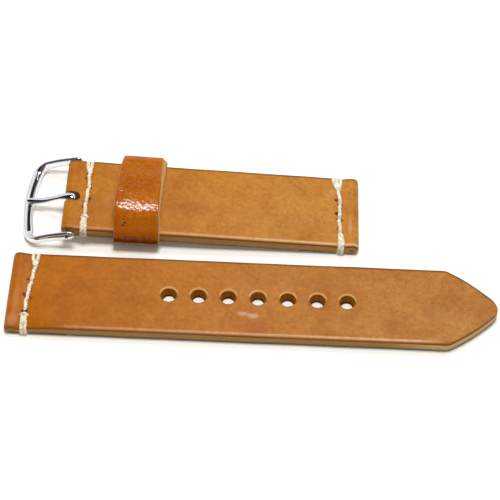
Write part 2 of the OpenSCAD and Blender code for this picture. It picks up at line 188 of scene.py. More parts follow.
def finishPiece(piece, body, slotName, *nodes):
    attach(piece, body)
    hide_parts(*nodes)


def circle(sides):
    # the cosine and sine of each corner
    return [(cos(2 * pi * k / sides), sin(2 * pi * k / sides)) for k in range(sides)]


def tubeFaces(rings, sides, start=0):
    # quads from each ring of points to the next, then a face at each end
    faces = [[at + k, at + (k + 1) % sides, at + sides + (k + 1) % sides, at + sides + k]
             for at in range(start, start + (rings - 1) * sides, sides) for k in range(sides)]
    return faces + [[at + k for k in range(sides)] for at in (start, start + (rings - 1) * sides)]


def ease(s):
    s = min(1, max(0, s))
    return s * s * (3 - 2 * s)


def mix(a, b, s):
    return a + (b - a) * s


def waves(x, y, z):
    return noise.noise(Vector((x, y, z)))


def leftOf(path):
    # unit vectors to the left of a flat path
    ways = np.gradient(path, axis=0)
    ways /= np.linalg.norm(ways, axis=1)[:, None]
    return np.stack([-ways[:, 1], ways[:, 0]], axis=1)


def catmull(points, perSpan):
    # a smooth line through the points
    p = np.array(points, float)
    ends = np.vstack([2 * p[0] - p[1], p, 2 * p[-1] - p[-2]])
    line = []
    for i in range(1, len(ends) - 2):
        a, b, c, d = ends[i - 1:i + 3]
        for s in np.arange(perSpan) / perSpan:
            line.append(0.5 * (2 * b + (c - a) * s + (2 * a - 5 * b + 4 * c - d) * s ** 2
                               + (3 * b - a - 3 * c + d) * s ** 3))
    return np.array(line + [p[-1]])


# Where the pieces lie: u along a strap from its left fold, v across it, w up from its underside, in mm

strap = {
    "width": 22.0,
    "thick": 3.0,
    "tailLength": 120.0,
    "shortLength": 75.0,
    "lugFold": 1.7,          # radius outside the fold round a 1.5 mm bar
    "buckleFold": 1.65,
    "lugBore": 0.85,
    "buckleBore": 0.8,
    "swell": 2.4,            # how soon a fold grows to the full thickness
    "flap": 15.0,            # length folded under
    "flapStep": 3.0,
    "flapEdge": 0.35,
    "cornerRound": 0.8,
    "rimRound": 0.42,        # how far the grain side rolls over at a cut edge
    "fleshRound": 0.16,
    "dome": 0.12,            # the top falls by this towards its edges, so that they catch the light
    "domeFrom": 9.2,
    "domeWidth": 1.8,
    "wander": 0.07,          # how far each cut side strays on its own
    "tailSeed": 1.7,         # where each piece reads its waves
    "shortSeed": 4.3,
    "fineZone": 9.0,         # cross sections are closer together near a fold
    "fineStep": 0.22,
    "coarseStep": 0.75,
}

slope = Vector(joints["keeper_slide"]["axis"])
tilt = atan2(-slope.z, slope.x)
barAxis = Vector(joints["buckle_hinge"]["pos_m"]) / mm
tailTunnel = Vector(mounts["tail_lug_tunnel"]["pos_m"]) / mm
lean = Matrix.Rotation(tilt, 4, "Y")
tailLie = Matrix.Translation(tailTunnel - Vector((strap["lugFold"], 0, strap["lugFold"])))
shortLie = Matrix.Translation(barAxis - lean @ Vector((strap["buckleFold"], 0, strap["buckleFold"]))) @ lean


def placed(lie, points):
    # from strap millimetres to the scene's metres
    turn = np.array(lie)
    return (np.asarray(points, float) @ turn[:3, :3].T + turn[:3, 3]) * mm


def strapPlace(lie, piece, outline):
    # writes every point's u, v and w and its distance from the cut edge, all in mm, for the materials to read
    turn = np.array(lie.inverted())
    count = len(piece.data.vertices)
    flat = np.empty(count * 3, np.float32)
    piece.data.vertices.foreach_get("co", flat)
    local = (flat.reshape(-1, 3) / mm) @ turn[:3, :3].T + turn[:3, 3]
    layer = piece.data.attributes.new("place", "FLOAT_VECTOR", "POINT")
    layer.data.foreach_set("vector", local.astype(np.float32).ravel())
    farFromEdge = 50.0
    away = np.full(count, farFromEdge)
    if outline is not None:
        away = np.interp(local[:, 0], *outline) - abs(local[:, 1])
    rim = piece.data.attributes.new("fromEdge", "FLOAT", "POINT")
    rim.data.foreach_set("value", away.astype(np.float32))


# Materials

def strapLeather(name, marks, tone="#AF6305", pale="#B27A38", deep="#985105", gloss=0.36, specular=0.16,
                 grain=0.35, pore=2.6, wrinkle=1.0, speckle=0.0, length=120.0, rimHighlightFrom=14.0,
                 rimHighlightTo=200.0):
    # vegetable-tanned cowhide, oiled and waxed: a warm tan with cloudy blotches, fine pores and a low sheen
    material, tree, surface = newMaterial(name)
    place = strapSpot(tree)
    parts = parted(tree, place)
    along = mapRange(tree, parts["X"], 0.0, length)
    clouds = noiseField(tree, place, 0.11, 4.0, 0.6, 0.6)
    flecks = noiseField(tree, place, 0.9, 6.0, 0.7)
    # painted sheen: the tan fades from tone to pale along the strap, where the glare would fall
    base = blend(tree, mapRange(tree, clouds, 0.4, 0.68, 0.0, 0.6), blend(tree, along, tone, pale), deep)
    # open pores show as dark specks where the hide is loose, towards the far end of the strap
    specks = mapRange(tree, poreField(tree, place, 1.3), 0.12, 0.34, -speckle, 0.0)
    loose = maths(tree, "MULTIPLY_ADD", specks, along, mapRange(tree, flecks, 0.3, 0.75, 0.78, 1.22))
    colour = vectorMaths(tree, "SCALE", {0: base, "Scale": loose})
    # marks: hand-made awl pricks deepened with painted shade, pale spots of painted highlight and sheen, and
    # stains
    for u, v, long, wide, strength, tint in marks:
        spot = vectorMaths(tree, "SUBTRACT", {0: place, 1: (u, v, strap["thick"])})
        shaped = vectorMaths(tree, "MULTIPLY", {0: spot, 1: (1 / long, 1 / wide, 0.0)})
        ragged = maths(tree, "MULTIPLY_ADD", flecks, 2.0, vectorMaths(tree, "LENGTH", {0: shaped}))
        colour = blend(tree, mapRange(tree, ragged, 1.4, 2.3, strength, 0.0, "SMOOTHSTEP"), colour, tint)
    # painted highlight: the near rim is paler, more so towards the far end
    edge = addNode(tree, "ShaderNodeAttribute", attribute_name="fromEdge").outputs["Fac"]
    nearSide = maths(tree, "LESS_THAN", parts["Y"], 0.0)
    near = maths(tree, "MULTIPLY", mapRange(tree, edge, 1.25, 0.75, shape="SMOOTHSTEP"), nearSide)
    started = mapRange(tree, parts["X"], rimHighlightFrom - 3, rimHighlightFrom + 3)
    onward = mapRange(tree, parts["X"], rimHighlightTo - 8, rimHighlightTo, started, 0.0)
    patchy = maths(tree, "MULTIPLY", near, maths(tree, "MULTIPLY_ADD", flecks, along, 0.2))
    rimHighlight = blend(tree, maths(tree, "MULTIPLY", patchy, onward), colour, "#EAC09A")
    # the grain darkens where it rolls over into the cut sides, most on the far side
    begin = mapRange(tree, nearSide, low=0.95, high=0.7)
    full = mapRange(tree, nearSide, low=0.25, high=0.1)
    rimTone = blend(tree, nearSide, "#583018", "#7C4C1C")
    rolled = blend(tree, mapRange(tree, edge, begin, full), rimHighlight, rimTone)
    # pores are 0.4 to 0.7 mm apart, coarser than real ones so that they show
    creases = noiseField(tree, place, 1.4, 2.5, 0.55, 0.5)
    folds = maths(tree, "MULTIPLY", creases, wrinkle)
    height = maths(tree, "MULTIPLY_ADD", poreField(tree, place, pore), 0.5, folds)
    setInputs(tree, surface, {
        "Base Color": rolled,
        "Roughness": mapRange(tree, creases, 0.3, 0.7, gloss - 0.06, gloss + 0.08),
        "Normal": bumped(tree, height, grain, 0.1),
        "Specular IOR Level": specular})
    return material


def rawLeather(name, light, dark, streak=4.0, fuzz=0.5, tipTone=None, contactShade=None, contactShadeHeight=0.7,
               matt=False):
    # cut or flesh side of the same hide, undyed: matt, fibrous, streaked along its layers
    material, tree, surface = newMaterial(name)
    place = strapSpot(tree)
    streaks = noiseField(tree, scaled(tree, place, 0.5, 0.5, streak), 1.2, 5.0, 0.65)
    fibres = maths(tree, "MULTIPLY_ADD", streaks, 0.7, noiseField(tree, place, 3.5, 8.0, 0.8))
    colour = blend(tree, mapRange(tree, fibres, 0.6, 1.1), dark, light)
    if tipTone:
        # the cut side grows paler towards the pointed end
        colour = blend(tree, mapRange(tree, parted(tree, place)["X"], 92.0, 104.0, 0.0, 0.8), colour, tipTone)
    if contactShade:
        # painted shade: darker along the lower edge, where it meets the table
        low = mapRange(tree, parted(tree, place)["Z"], contactShadeHeight, contactShadeHeight * 0.4, 0.0, 0.9)
        colour = blend(tree, low, colour, contactShade)
    setInputs(tree, surface, {
        "Base Color": colour,
        "Normal": bumped(tree, fibres, fuzz, 0.12),
        "Roughness": 0.85,
        "Sheen Weight": 0.0 if matt else 0.15,
        "Specular IOR Level": 0.1 if matt else 0.5})
    return material


def punchedRim(name):
    # the grain stretched over the rim of a punched hole, with a painted highlight: pale on the far side,
    # where it faces the light
    material, tree, surface = newMaterial(name)
    place = strapSpot(tree)
    ragged = maths(tree, "MULTIPLY_ADD", noiseField(tree, place, 2.0, 4.0), 0.8, parted(tree, place)["Y"])
    colour = blend(tree, mapRange(tree, ragged, 0.4, 1.6), "#9C621C", "#E0AC70")
    setInputs(tree, surface, {"Base Color": colour, "Roughness": 0.5})
    return material


def waxedLinen(name):
    # waxed linen thread: cream, dull, with fine hairs that break up its highlight
    material, tree, surface = newMaterial(name)
    spot = objectSpot(tree, 1000, 1000, 1000)
    worn = mapRange(tree, noiseField(tree, spot, 1.1, 4.0), 0.35, 0.7)
    setInputs(tree, surface, {
        "Base Color": blend(tree, worn, "#D8CCB0", "#FFFDF6"),
        "Normal": bumped(tree, noiseField(tree, spot, 7.0, 5.0, 0.7), 0.4, 0.05),
        "Roughness": 0.7,
        "Sheen Weight": 0.25})
    return material


def chromePlate(name):
    # chrome over polished steel: a cool mirror with faint handling haze
    material, tree, surface = newMaterial(name)
    spot = addNode(tree, "ShaderNodeTexCoord").outputs["Object"]
    haze = noiseField(tree, scaled(tree, spot, 1000, 1000, 1000), 0.6, 5.0)
    lines = noiseField(tree, scaled(tree, spot, 9000, 1200, 9000), 1.0, 3.0)
    setInputs(tree, surface, {
        "Base Color": "#E9E9ED",
        "Metallic": 1.0,
        "Roughness": mapRange(tree, haze, 0.4, 0.75, 0.03, 0.09),
        "Normal": bumped(tree, lines, 0.05, 0.01)})
    return material


def drawnSteel(name):
    # drawn stainless steel: grey, with fine lines round the bar from the lathe
    material, tree, surface = newMaterial(name)
    lines = noiseField(tree, objectSpot(tree, 800, 14000, 800), 1.0, 2.0)
    setInputs(tree, surface, {
        "Base Color": "#A9ADB3",
        "Metallic": 1.0,
        "Roughness": mapRange(tree, lines, low=0.22, high=0.4),
        "Normal": bumped(tree, lines, 0.1, 0.01)})
    return material


# the cut sides and the hole walls carry painted shade along their lower edge
cutEdge = rawLeather("cutEdgeVegTan", "#D0984E", "#966C2A", contactShade="#5E4824", contactShadeHeight=0.8)
tailEdge = rawLeather("cutEdgeTail", "#BC8A46", "#825C22", tipTone="#D6B07A", contactShade="#4E3C1A",
                      contactShadeHeight=0.9)
fleshSide = rawLeather("fleshSideSuede", "#A88458", "#86633A", streak=1.0, fuzz=0.8)
holeWall = rawLeather("punchedHoleWall", "#C27C16", "#885004", streak=3.0, contactShade="#241204", matt=True)
# the stitch holes' walls are painted dark: painted shade inside the holes
stitchHole = rawLeather("stitchHolePaintedShade", "#5A3818", "#3A200A", streak=1.0)
glueLine = rawLeather("glueLineDark", "#4A3218", "#2E1D0C", streak=2.0)
paleRim = punchedRim("punchedHoleRim")
linen = waxedLinen("waxedLinenThread")
chrome = chromePlate("chromePlateMirror")
steel = drawnSteel("drawnSpringBarSteel")
print("materials made")


# Leather straps, lofted from cross sections with rolled rims

slots = {"grain": 0, "cut": 1, "flesh": 2}
acrossSteps, cornerSteps, sideSteps = 46, 4, 4


def sectionLoop():
    # each row holds a point's shares of half width, rim radius and flesh radius across, then of top, bottom,
    # rim radius and flesh radius up; the zones name the face from each point to the next
    n, c, s = acrossSteps, cornerSteps, sideSteps
    corner = [(cos(a), sin(a)) for a in [radians(90 - 90 * k / c) for k in range(1, c + 1)]]
    side = [(1, x - 1, 0, 1, 0, y - 1, 0) for x, y in corner]
    side += [(1, 0, 0, 1 - k / s, k / s, k / s - 1, k / s) for k in range(1, s)]
    side += [(1, 0, x - 1, 0, 1, 0, 1 - y) for x, y in reversed(corner)]
    spread = [2 * i / n - 1 for i in range(n + 1)]
    rows = [(t, -t, 0, 1, 0, 0, 0) for t in spread] + side + [(-t, 0, t, 0, 1, 0, 0) for t in spread]
    rows += [(-half, -rim, -flesh, *up) for half, rim, flesh, *up in reversed(side)]
    zones = ["grain"] * (n + c) + ["cut"] * (s + c) + ["under"] * n + ["cut"] * (c + s) + ["grain"] * c
    return np.array(rows, float), zones


def foldHeights(u, foldRadius):
    # bottom and top of a folded end at a distance u from its nose
    r, t = foldRadius, strap["thick"]
    if u < r:
        rise = sqrt(max(0, r * r - (r - u) ** 2))
        return r - rise, r + rise
    return 0.0, mix(2 * r, t, ease((u - r) / strap["swell"]))


def stepsAlong(foldRadius, *zones):
    # places along u: round the fold's nose, then up to the end of each zone with a step of its own
    places = [foldRadius * (1 - cos(radians(5 + 85 * i / 14))) for i in range(15)]
    for stop, step in zones:
        start = places[-1]
        count = max(1, round((stop - start) / step))
        places += [start + (stop - start) * i / count for i in range(1, count + 1)]
    return places


def ripple(u, v, seed):
    # slow waves of a hand-cut strap, up to 0.07 mm, with small dents of 0.02 mm
    slow = waves(u / 13, v / 9, seed)
    quick = waves(u / 3.5, v / 3.5, seed + 5)
    return 0.075 * slow + 0.022 * quick


def seamDip(u, seams):
    return sum(stitch["pull"] * exp(-((u - seam["u"]) / stitch["pullLong"]) ** 2) for seam in seams)


def edgeDome(v):
    return strap["dome"] * np.clip((abs(v) - strap["domeFrom"]) / strap["domeWidth"], 0, 1) ** 2


def pressed(u, v, dents):
    # corners of a fold squeezed flat by handling
    return sum(d["deep"] * exp(-((u - d["u"]) / d["long"]) ** 2 - ((v - d["v"]) / d["wide"]) ** 2)
               for d in dents)


def loftLeather(name, lie, stations, seams, seed, materials, dents=()):
    # stations are u, half width, bottom, top and how far the middle bulges along u
    rows, zones = sectionLoop()
    ring = len(rows)
    points = []
    for u, half, low, high, bend in stations:
        rim = min(strap["rimRound"], (high - low) * 0.45)
        flesh = min(strap["fleshRound"], (high - low) * 0.45)
        across = rows[:, :3] @ np.array([half, rim, flesh])
        up = rows[:, 3:] @ np.array([high, low, rim, flesh])
        wander = [strap["wander"] * waves(u / 11, seed, at) for at in (0, 7)]
        for v, w in zip(across, up):
            sideways = v / max(half, 0.01)
            uu = u + bend * (1 - sideways ** 2)
            height = (w - low) / max(high - low, 0.01)
            lift = (ripple(uu, v, seed) - seamDip(uu, seams) - edgeDome(v) - pressed(uu, v, dents)) * height
            drift = sideways * (wander[0] if sideways > 0 else wander[1])
            points.append((uu, v + drift, w + lift))
    bothFolded = len(seams) > 1
    flapEnd = strap["flap"] + 0.3
    faces = tubeFaces(len(stations), ring)[:-2]
    kinds = []
    for u in [station[0] for station in stations[:-1]]:
        folded = u < flapEnd or bothFolded and u > strap["shortLength"] - flapEnd
        under = "grain" if folded else "flesh"
        kinds += [slots[under if zone == "under" else zone] for zone in zones]
    n = acrossSteps
    low = n + 2 * cornerSteps + sideSteps          # the first point of the underside
    for end in (0, (len(stations) - 1) * ring):
        for i in range(n):
            faces.append((end + i, end + i + 1, end + low + n - i - 1, end + low + n - i))
            kinds.append(slots["grain" if end == 0 or bothFolded else "cut"])
        faces.append([end + j for j in range(n, low + 1)])
        faces.append([end + j % ring for j in range(low + n, ring + 1)])
        kinds += [slots["cut"]] * 2
    return solidObject(name, placed(lie, points), faces, materials, kinds)


def cut(piece, lie, form, material):
    points, faces = form
    carve(piece, solidObject("cutter", placed(lie, points), faces, [material]))


def turnedCutter(spots, profile, sides):
    # upright holes at (u, v) spots, from a profile of radius and height
    points, faces = [], []
    for u, v in spots:
        faces += tubeFaces(len(profile), sides, len(points))
        points += [(u + r * c, v + r * s, height) for r, height in profile for c, s in circle(sides)]
    return points, faces


def acrossCutter(outline):
    # an outline of u and w, spread right across the strap
    points = [(u, side * strap["width"], w) for side in (-1, 1) for u, w in outline]
    return points, tubeFaces(2, len(outline))


def tunnelCutter(u, w, radius, pinch):
    # a round tunnel whose near end is squeezed nearly shut
    sides = 48
    half = strap["width"] / 2
    sections = [(-half - 1, pinch), (-half, pinch), (-half + 1.5, mix(pinch, radius, 0.6)),
                (-half + 4, radius), (half + 1, radius)]
    points = [(u + radius * c, v, w - 0.4 * (radius - tall) + tall * s)
              for v, tall in sections for c, s in circle(sides)]
    return points, tubeFaces(len(sections), sides)


stitch = {
    "pitch": 4.5,
    "count": 4,
    "holeRadius": 0.42,
    "grooveHalf": 1.0,
    "grooveDeep": 0.6,
    "pull": 0.17,            # how far the thread pulls the leather down, and over what length
    "pullLong": 0.8,
}
# where each seam lies, how far its holes stray from it, from the near side to the far one, how far the
# strands round each edge spread, and where a turn of thread holds two of them together
tailSeam = dict(u=5.0, stray=[-0.25, -0.1, 0.4, 0.9], spreads=((-0.7, 0.22), (0.1, 1.3)), knots=[-7.5])
buckleSeam = dict(u=5.6, stray=[0.05, 0.0, 0.3, 0.1], spreads=((-0.45, 0.42), (-0.55, 0.5)), knots=[-7.2])
lugSeam = dict(u=70.0, stray=[0.1, -0.1, 0.1, -0.3], spreads=((-0.05, 0.8), (-1.6, -0.7, 0.3)), knots=[])
shortSeams = [buckleSeam, lugSeam]
stitchRows = [(i - (stitch["count"] - 1) / 2) * stitch["pitch"] for i in range(stitch["count"])]


def carveFold(piece, lie, foldRadius, boreRadius, flip, pinch):
    # the bar's tunnel, the glue line behind it and the step where the flap ends
    length = strap["shortLength"]
    halfGap = 0.025
    flap, edge, step = strap["flap"], strap["flapEdge"], strap["flapStep"]
    slit = [(foldRadius, foldRadius - halfGap), (flap * 0.5, 0.98), (flap + 0.2, edge),
            (flap + 0.2, edge + 0.14), (flap * 0.5, 1.06), (foldRadius, foldRadius + halfGap)]
    ledge = [(flap, -1), (flap + step, -1), (flap + step, 0), (flap, edge + 0.1)]
    for outline, material in ((slit, glueLine), (ledge, fleshSide)):
        cut(piece, lie, acrossCutter([(length - u, w) for u, w in outline] if flip else outline), material)
    at = length - foldRadius if flip else foldRadius
    cut(piece, lie, tunnelCutter(at, foldRadius, boreRadius, pinch), fleshSide)


def carveSeam(piece, lie, seam):
    at = seam["u"]
    spots = [(at + stray, v) for stray, v in zip(seam["stray"], stitchRows)]
    wide = stitch["holeRadius"]
    profile = [(wide, -1), (wide, 2.2), (wide + 0.12, 2.6), (wide + 0.26, 2.9), (wide + 0.4, 3.4)]
    cut(piece, lie, turnedCutter(spots, profile, 20), stitchHole)
    half, deep = stitch["grooveHalf"], stitch["grooveDeep"]
    groove = [(at - half, -1), (at + half, -1), (at + half, deep), (at - half, deep)]
    cut(piece, lie, acrossCutter(groove), fleshSide)


# Long piece: folded at the left, seven holes, pointed at the right

tail = {
    "shoulder": 107.6,       # where the tip starts to narrow
    "noseHalf": 2.5,
    "noseBulge": 1.1,
    "sideBulge": 0.5,
    "tipZone": 104.0,        # cross sections are closer together from here
    "tipStep": 0.4,
    "holeRadius": 1.95,
    "holeFlare": 0.4,        # the punch leaves a rolled rim
    "firstHole": 39.3,
    "holePitch": 7.3,
    "holeCount": 7,
    "holeAside": 0.3,        # the row was punched a little off the middle
}


def tailHalfWidth():
    # half the strap's width at any u, with the shoulder softened by hand
    half, corner = strap["width"] / 2, strap["cornerRound"]
    noseAt = strap["tailLength"] - tail["noseBulge"]
    start = np.array([tail["shoulder"], half])
    end = np.array([noseAt, tail["noseHalf"]])
    way = (end - start) / np.linalg.norm(end - start)
    out = np.array([-way[1], way[0]])
    s = np.linspace(0, 1, 60)[:, None]
    line = start + (end - start) * s + out * tail["sideBulge"] * 4 * s * (1 - s)
    us = np.linspace(0, noseAt, 2400)
    halves = np.interp(us, [0, *line[:, 0]], [half, *line[:, 1]])
    reach = 22                                     # 22 samples of 0.05 mm, each side of a point
    kernel = np.hanning(2 * reach + 1)
    padded = np.concatenate([np.full(reach, half), halves, np.full(reach, halves[-1])])
    smooth = np.convolve(padded, kernel / kernel.sum(), "valid")
    halves = np.where(us < noseAt - 2, smooth, halves)
    curve = np.sqrt(np.clip(corner ** 2 - (corner - us) ** 2, 0, None))
    return us, np.where(us < corner, half - corner + curve, halves)


def tailStations():
    us, halves = tailHalfWidth()
    fold, rim = strap["lugFold"], strap["rimRound"]
    noseAt = strap["tailLength"] - tail["noseBulge"]
    stations = []
    for u in stepsAlong(fold, (strap["fineZone"], strap["fineStep"]), (tail["tipZone"], strap["coarseStep"]),
                        (noseAt - rim, tail["tipStep"])):
        bend = tail["noseBulge"] * ease((u - tail["shoulder"]) / (noseAt - tail["shoulder"])) ** 2
        stations.append((u, float(np.interp(u, us, halves)), *foldHeights(u, fold), bend))
    # the rim rolls over at the very tip too
    for a in (20, 40, 60, 75, 90):
        u = noseAt - rim * (1 - sin(radians(a)))
        drop = rim * (1 - cos(radians(a)))
        stations.append((u, float(np.interp(u, us, halves)), 0.0, strap["thick"] - drop, tail["noseBulge"]))
    return stations


tailDents = [dict(u=-1.0, v=-11.4, long=8.0, wide=2.2, deep=1.15)]
# marks, here and below: u, v, length, width, strength and colour
tailMarksAndPaintedLight = [
    # awl pricks by the stitch holes, darkened further as painted shade where the thread pulls in
    (4.4, 3.1, 0.5, 0.5, 0.95, "#4A2A12"),
    (4.1, -1.5, 0.5, 0.6, 0.95, "#3E2010"),
    (5.8, -2.6, 0.35, 0.45, 0.85, "#5A3418"),
    # painted highlights on the fold
    (1.8, -8.8, 1.6, 1.6, 0.35, "#D3A07A"),
    (2.2, -3.0, 0.9, 4.0, 0.25, "#CC9058"),
    # painted sheen on the flat top
    (57.6, -4.5, 1.6, 0.7, 0.35, "#DDBBA4"),
    (60.2, -5.1, 1.3, 0.8, 0.4, "#DDBBA4"),
    # darker stains
    (60.2, -8.2, 4.5, 2.0, 0.45, "#A8541E"),
    (74.0, 5.2, 5.0, 1.4, 0.3, "#A5642C"),
    (104.0, -3.5, 5.0, 3.0, 0.3, "#A8743C"),
]
tailGrain = strapLeather("oiledTanLeatherTail", tailMarksAndPaintedLight, speckle=0.3, rimHighlightTo=107.0)
tailPiece = loftLeather("tailLeather", tailLie, tailStations(), [tailSeam], strap["tailSeed"],
                        [tailGrain, tailEdge, fleshSide], tailDents)
holeSpots = [(tail["firstHole"] + i * tail["holePitch"], tail["holeAside"]) for i in range(tail["holeCount"])]
flare, bore, top = tail["holeFlare"], tail["holeRadius"], strap["thick"]
holeProfile = [(bore - 0.5, -1), (bore - 0.42, 0.1), (bore - 0.1, 1.6), (bore, top - 0.36)]
rimProfile = [(bore - 0.01, top - 0.4), (bore + 0.04, top - 0.28), (bore + flare * 0.5, top - 0.12),
              (bore + flare, top + 0.02), (bore + flare * 1.6, top + 0.3)]
cut(tailPiece, tailLie, turnedCutter(holeSpots, holeProfile, 56), holeWall)
cut(tailPiece, tailLie, turnedCutter(holeSpots, rimProfile, 56), paleRim)
carveFold(tailPiece, tailLie, strap["lugFold"], strap["lugBore"], False, 0.35)
carveSeam(tailPiece, tailLie, tailSeam)
strapPlace(tailLie, tailPiece, tailHalfWidth())
smoothShade(tailPiece)
finishPiece(tailPiece, "tail_piece", "strap_leather", "tail_strap")
print("tail piece made", len(tailPiece.data.polygons))


# Short piece: folded at both ends, with a slot for the tongue

slot = {"half": 1.4, "end": 4.0, "aside": -0.8}


def shortStations():
    length, half, corner = strap["shortLength"], strap["width"] / 2, strap["cornerRound"]
    left, right = strap["buckleFold"], strap["lugFold"]
    zone, fine = strap["fineZone"], strap["fineStep"]
    places = stepsAlong(left, (zone, fine), (length - zone, strap["coarseStep"]), (length - right, fine))
    stations = []
    for u in places + [length - u for u in reversed(stepsAlong(right)[:-1])]:
        near = min(u, length - u)
        inset = corner - sqrt(max(0, corner ** 2 - (corner - near) ** 2)) if near < corner else 0
        stations.append((u, half - inset, *foldHeights(near, left if u < length / 2 else right), 0.0))
    return stations


def slotCutter():
    half, end = slot["half"], slot["end"]
    turns = [radians(a) for a in range(0, 181, 10)]
    plan = [(-1, -half), *[(end - half + half * sin(a), -half * cos(a)) for a in turns], (-1, half)]
    return [(u, v + slot["aside"], w) for w in (-1, 5) for u, v in plan], tubeFaces(2, len(plan))


shortMarksAndPaintedLight = [
    # awl pricks at both seams, darkened further as painted shade where the thread pulls in
    (4.9, 5.2, 0.42, 0.5, 0.9, "#4A2A12"),
    (6.5, -1.2, 0.35, 0.8, 0.9, "#3E2010"),
    (5.0, -3.8, 0.42, 0.5, 0.9, "#4A2A12"),
    (69.1, 7.4, 0.45, 0.5, 0.9, "#3E2010"),
    (69.1, 3.6, 0.5, 0.6, 0.95, "#341A0C"),
    (69.3, -0.6, 0.5, 0.6, 0.95, "#341A0C"),
    (69.6, -5.2, 0.35, 0.4, 0.8, "#4A2A12"),
    (70.7, -2.6, 0.4, 0.45, 0.8, "#5A3418"),
    # painted highlights near the lug fold
    (68.2, 6.0, 0.8, 1.2, 0.25, "#D79A78"),
    (72.6, -4.5, 0.5, 3.2, 0.3, "#D9AE8C"),
    (12.0, -1.5, 2.5, 2.5, 0.25, "#C98A55"),
    (47.0, -3.0, 5.0, 1.6, 0.25, "#A9683A"),
]
shortGrain = strapLeather("oiledTanLeatherShort", shortMarksAndPaintedLight, tone="#B47018", pale="#BC7F34",
                          length=strap["shortLength"], speckle=0.18, rimHighlightFrom=2.0)
shortPiece = loftLeather("buckleLeather", shortLie, shortStations(), shortSeams, strap["shortSeed"],
                         [shortGrain, cutEdge, fleshSide])
carveFold(shortPiece, shortLie, strap["buckleFold"], strap["buckleBore"], False, strap["buckleBore"])
carveFold(shortPiece, shortLie, strap["lugFold"], strap["lugBore"], True, 0.22)
cut(shortPiece, shortLie, slotCutter(), cutEdge)
for seam in shortSeams:
    carveSeam(shortPiece, shortLie, seam)
strapPlace(shortLie, shortPiece, ([0, strap["shortLength"]], [strap["width"] / 2] * 2))
smoothShade(shortPiece)
finishPiece(shortPiece, "buckle_piece", "strap_leather", "buckle_strap")
print("buckle piece made", len(shortPiece.data.polygons))


# Keeper: a strip of leather bent round the short piece, its ends sewn together underneath

keeper = {
    "thick": 1.25,
    "skive": 0.22,           # thinner by this round the near corner, to bend there
    "halfWidth": 12.95,      # outside
    "low": -2.1,
    "crown": 5.1,            # height of its far end
    "farRound": 1.9,
    "nearRound": 3.2,
    "lowRound": 3.3,
    "joint": 0.05,
    "rim": 0.3,
    "grainSteps": 22,
    "edgeSteps": 4,
}
# slope of its top across the strap: nearly flat on the far half, then steeper towards the near corner
keeperAt = [-13.0, -6.4, -5.6, -3.4, -2.6, 3.0, 13.0]
keeperSlope = [0.17, 0.165, 0.13, 0.03, 0.0, -0.01, -0.01]
# the strip's edges along u and the width of its cut, at places across the strap: narrower at the far side
keeperAcross = [-13.0, -11.6, -8.6, -4.6, 2.5, 9.4, 12.1, 13.0]
keeperLeft = [13.25, 13.3, 13.0, 12.7, 13.05, 13.6, 14.2, 14.4]
keeperRight = [24.8, 24.8, 24.6, 24.45, 24.75, 25.1, 25.3, 25.3]
keeperBevel = [0.35, 0.4, 0.5, 0.65, 0.9, 1.2, 1.3, 1.2]


def keeperTop(v):
    far = keeperAt[-1]
    slopes = np.interp(np.linspace(far, v, 200), keeperAt, keeperSlope)
    return keeper["crown"] - float(np.mean(slopes)) * (far - v)


def keeperPath():
    # outer face, from the joint underneath round the far side, over the top and back under
    half, low, joint = keeper["halfWidth"], keeper["low"], keeper["joint"]
    far, near, under = keeper["farRound"], keeper["nearRound"], keeper["lowRound"]
    nearTop = keeperTop(near - half)
    line = []

    def corner(v, w, radius, start, stop):
        count = max(4, round(abs(stop - start) / 6))
        for k in range(count + 1):
            b = radians(start + (stop - start) * k / count)
            line.append((v + radius * cos(b), w + radius * sin(b)))

    line += [(v, low) for v in np.arange(joint, half - under - 0.3, 0.6)]
    corner(half - under, low + under, under, -90, 0)
    top = keeper["crown"] - far
    line += [(half, w) for w in np.arange(low + under + 0.3, top - 0.1, 0.4)]
    corner(half - far, top, far, 0, 90)
    line += [(v, keeperTop(v)) for v in np.arange(half - far - 0.4, near - half + 0.2, -0.4)]
    corner(near - half, nearTop - near, near, 98.5, 180)
    line += [(-half, w) for w in np.arange(nearTop - near - 0.3, low + under + 0.1, -0.3)]
    corner(under - half, low + under, under, 180, 270)
    line += [(v, low) for v in np.arange(under - half + 0.4, -joint - 0.3, 0.6)] + [(-joint, low)]
    return np.array(line)


def keeperRing(index, p):
    # one cross section of the strip: u, depth below the outer face, and the zone
    nearCorner = exp(-((p[0] + 11.8) / 2.6) ** 2 - ((p[1] - 3.4) / 2.4) ** 2)
    thick = keeper["thick"] - keeper["skive"] * nearCorner
    left = np.interp(p[0], keeperAcross, keeperLeft)
    right = np.interp(p[0], keeperAcross, keeperRight)
    under = 1 - ease((p[1] + 1.5) / 4)
    bevel = mix(np.interp(p[0], keeperAcross, keeperBevel), 0.25, under)
    left, right = mix(left, 13.2, under), mix(right, 24.7, under)
    right += 0.1 * waves(p[0] / 1.3, p[1] / 1.3, 8.0)
    rim = keeper["rim"]
    grain = [i / keeper["grainSteps"] for i in range(keeper["grainSteps"] + 1)]
    edge = [i / keeper["edgeSteps"] for i in range(keeper["edgeSteps"] + 1)]
    ring = []
    for s in grain:
        u = mix(left + rim, right - bevel - rim * 0.4, s)
        ring.append((u, 0.05 * waves(u / 4, index / 9, 3.1), "grain"))
    ring.append((right - bevel, -0.012, "grain"))
    ring += [(mix(right - bevel, right, s), -mix(0.16, thick - 0.08, s ** 1.15), "cut") for s in edge[1:]]
    ring += [(mix(right - 0.1, left + 0.12, s), -thick, "flesh") for s in grain]
    ring += [(left + 0.03 * sin(pi * s), -mix(thick - 0.1, 0.22, s), "cut") for s in edge]
    return ring + [(left + 0.09, -0.07, "grain")]


